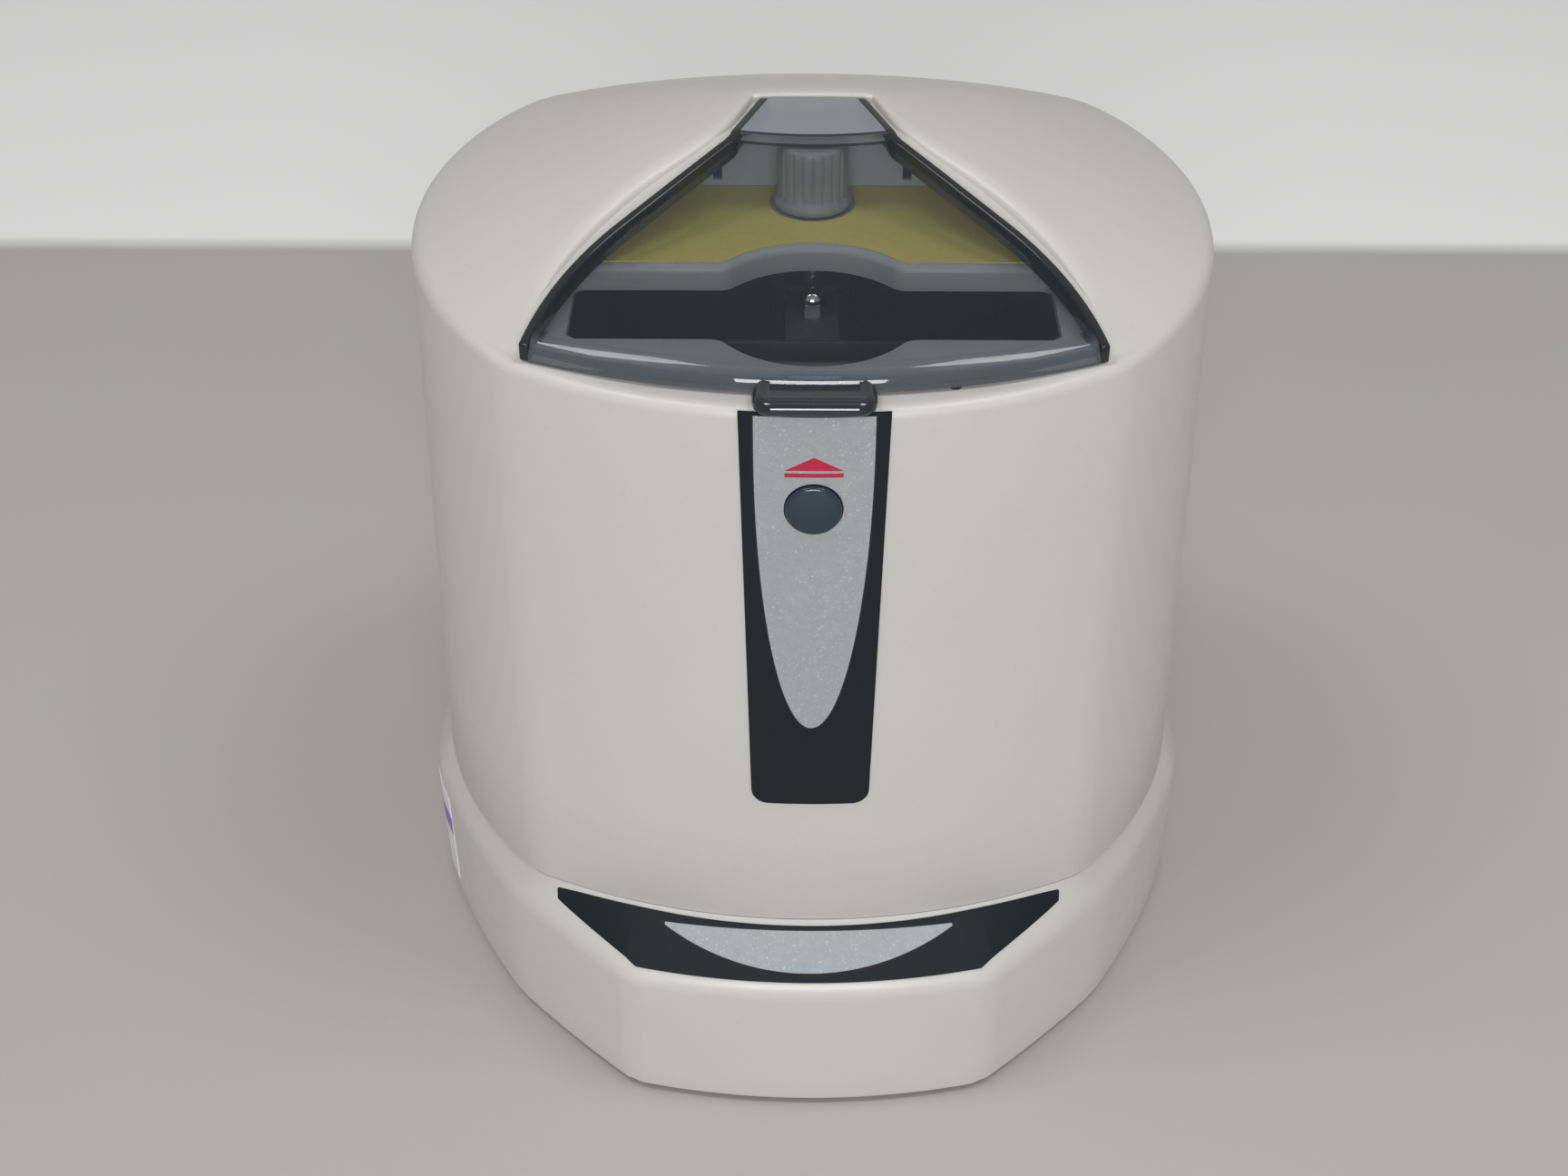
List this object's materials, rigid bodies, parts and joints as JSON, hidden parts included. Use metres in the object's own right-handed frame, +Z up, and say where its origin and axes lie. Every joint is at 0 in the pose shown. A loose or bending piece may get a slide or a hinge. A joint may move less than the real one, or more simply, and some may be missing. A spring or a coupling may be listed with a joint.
{
  "type": "microplate centrifuge",
  "caption": "Bench-top microplate centrifuge: round moulded case, clear hinged lid over a slotted loading deck, vertical rotor with plate carriers, lid button and rear power switch",
  "frame": {"origin": "middle of the foot print, on the surface the feet stand on", "axes": "+Z up, front with the lid button towards -Y, +X to the right seen from the front"},
  "size_m": [0.2643, 0.2372, 0.2858],
  "materials": {
    "housing_plastic": "fine satin moulded light warm grey",
    "base_plastic": "fine satin moulded light warm grey",
    "smoked_lid": "clear grey-tinted acrylic",
    "black_gloss": "glossy black",
    "label_silver": "speckled silver film",
    "label_slate": "dark slate printed film",
    "label_yellow": "printed yellow film",
    "label_white": "white paper sticker",
    "button_slate": "satin slate blue",
    "deck_grey": "fine textured blue-grey",
    "knob_black": "satin black",
    "carrier_metal": "anodised sheet",
    "bowl_metal": "brushed sheet",
    "steel": "turned steel",
    "bright_nut": "bright plated",
    "bronze_bush": "sintered bronze",
    "motor_steel": "black painted steel",
    "rubber": "matte black rubber",
    "internal_black": "moulded black",
    "plate_steel": "powder-coated grey sheet",
    "board_green": "solder resist"
  },
  "bodies": {
    "case": {"upper_housing": "housing_plastic", "base_shell": "base_plastic", "bottom_plate": "plate_steel", "plate_screws": "steel", "front_label": "label_slate", "front_label_inlay": "label_silver", "base_label": "label_slate", "base_label_inlay": "label_silver", "side_label": "label_white", "hinge_bracket": "plate_steel", "hinge_pin": "steel", "hinge_washers": "steel", "bracket_screws": "steel", "deck_tray": "deck_grey", "deck_label": "label_yellow", "knob_bush": "bronze_bush", "rotor_bowl": "bowl_metal", "motor_plate": "plate_steel", "motor_can": "motor_steel", "motor_end_cap": "internal_black", "motor_dampers": "rubber", "motor_screws": "steel", "button_spring": "steel", "button_guide": "internal_black", "latch_bracket": "plate_steel", "latch_pin": "steel", "lid_switch": "internal_black", "circuit_board": "board_green", "board_standoffs": "steel", "board_parts": "internal_black", "rear_panel": "internal_black", "power_inlet": "internal_black", "power_switch": "internal_black", "rubber_foot_1": "rubber", "support_pillar_1": "steel", "rubber_foot_2": "rubber", "support_pillar_2": "steel", "rubber_foot_3": "rubber", "support_pillar_3": "steel", "rubber_foot_4": "rubber", "support_pillar_4": "steel"},
    "lid": {"lid_window": "smoked_lid", "lid_side_trim_left": "black_gloss", "lid_side_trim_right": "black_gloss", "finger_tab": "smoked_lid", "lid_strike": "steel", "switch_peg": "internal_black", "hinge_lugs": "black_gloss"},
    "rotor": {"rotor_shaft": "steel", "hand_knob": "knob_black", "rotor_plate": "carrier_metal", "rotor_hub": "carrier_metal", "carrier_bar": "carrier_metal", "cap_nuts": "bright_nut", "carrier_front": "carrier_metal", "carrier_rear": "carrier_metal"},
    "button": {"open_button": "button_slate", "button_clip": "steel"},
    "latch": {"latch_hook": "plate_steel"},
    "rocker": {"power_rocker": "internal_black"}
  },
  "joints": [
    {"name": "lid_hinge", "type": "hinge", "parent": "case", "child": "lid", "pos_m": [0, 0.0267, 0.2806], "axis": [-1, 0, 0], "range_deg": [0, 80]},
    {"name": "rotor_spin", "type": "hinge", "parent": "case", "child": "rotor", "pos_m": [0, 0.0075, 0.2], "axis": [0, 0, 1], "continuous": true},
    {"name": "button_slide", "type": "slide", "parent": "case", "child": "button", "axis": [0, 1, 0], "range_m": [0, 0.0012], "stiffness_N_per_m": 400, "springref_m": -0.002, "deforming": ["button_spring"]},
    {"name": "latch_pivot", "type": "hinge", "parent": "case", "child": "latch", "pos_m": [0, -0.0931, 0.2355], "axis": [1, 0, 0], "range_deg": [0, 5.3]},
    {"name": "power_rocker", "type": "hinge", "parent": "case", "child": "rocker", "pos_m": [0.018, 0.11, 0.028], "axis": [1, 0, 0], "range_deg": [0, 14]}
  ],
  "couplings": [
    {"joint": "latch_pivot", "follows": "button_slide", "rad_per_m": 76.336}
  ]
}
